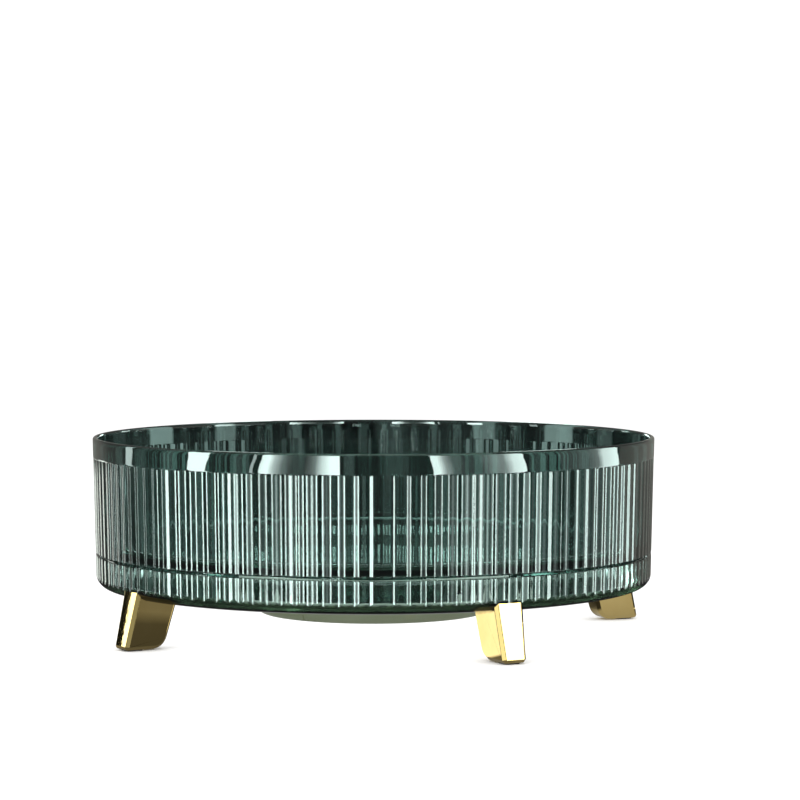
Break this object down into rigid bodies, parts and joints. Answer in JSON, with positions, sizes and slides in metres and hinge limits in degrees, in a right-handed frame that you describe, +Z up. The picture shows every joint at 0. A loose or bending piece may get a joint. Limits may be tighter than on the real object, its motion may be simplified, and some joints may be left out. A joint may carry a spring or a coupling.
{
  "type": "rotating makeup organizer",
  "caption": "Round open tray with a reeded translucent wall and plain rim, turning on a ball race over a shallow base pan with splayed gold legs.",
  "frame": {"origin": "on the axis of rotation, at the surface that the foot pads stand on", "axes": "+Z up along the axis of rotation; -Y is the front. Seen from above, the front right and rear left legs stand on the diagonal between +X and -Y, and the other two stand 84 degrees to each side of the front right one"},
  "size_m": [0.3, 0.3, 0.105],
  "materials": {
    "smoke_green_plastic": "clear glossy moulded plastic tinted dark teal green",
    "grey_green_plastic": "satin grey green",
    "natural_plastic": "natural white acetal, satin",
    "steel": "zinc plated, bright",
    "brass_insert": "turned",
    "polished_gold": "polished pale gold plating",
    "foot_rubber": "matte"
  },
  "bodies": {
    "base": {"base_pan": "smoke_green_plastic", "lower_race": "natural_plastic", "lower_race_screws": "steel", "pivot_bush": "natural_plastic", "disc_spring": "steel", "hub_cover": "grey_green_plastic", "hub_cover_screws": "steel", "leg_inserts": "brass_insert", "leg_screws": "steel", "leg_rear_right": "polished_gold", "leg_rear_left": "polished_gold", "leg_front_left": "polished_gold", "leg_front_right": "polished_gold", "foot_pad_rear_right": "foot_rubber", "foot_pad_rear_left": "foot_rubber", "foot_pad_front_left": "foot_rubber", "foot_pad_front_right": "foot_rubber"},
    "tray": {"tray_bowl": "smoke_green_plastic", "upper_race": "natural_plastic", "upper_race_screws": "steel", "spindle": "steel", "spindle_screws": "steel", "retaining_washer": "steel", "retaining_clip": "steel"},
    "cage": {"ball_cage": "natural_plastic", "bearing_balls": "steel"}
  },
  "joints": [
    {"name": "tray_spin", "type": "hinge", "parent": "base", "child": "tray", "pos_m": [0, 0, 0.0392], "axis": [0, 0, 1], "continuous": true},
    {"name": "cage_spin", "type": "hinge", "parent": "base", "child": "cage", "pos_m": [0, 0, 0.0392], "axis": [0, 0, 1], "continuous": true}
  ],
  "couplings": [
    {"joint": "cage_spin", "follows": "tray_spin", "ratio": 0.5}
  ]
}
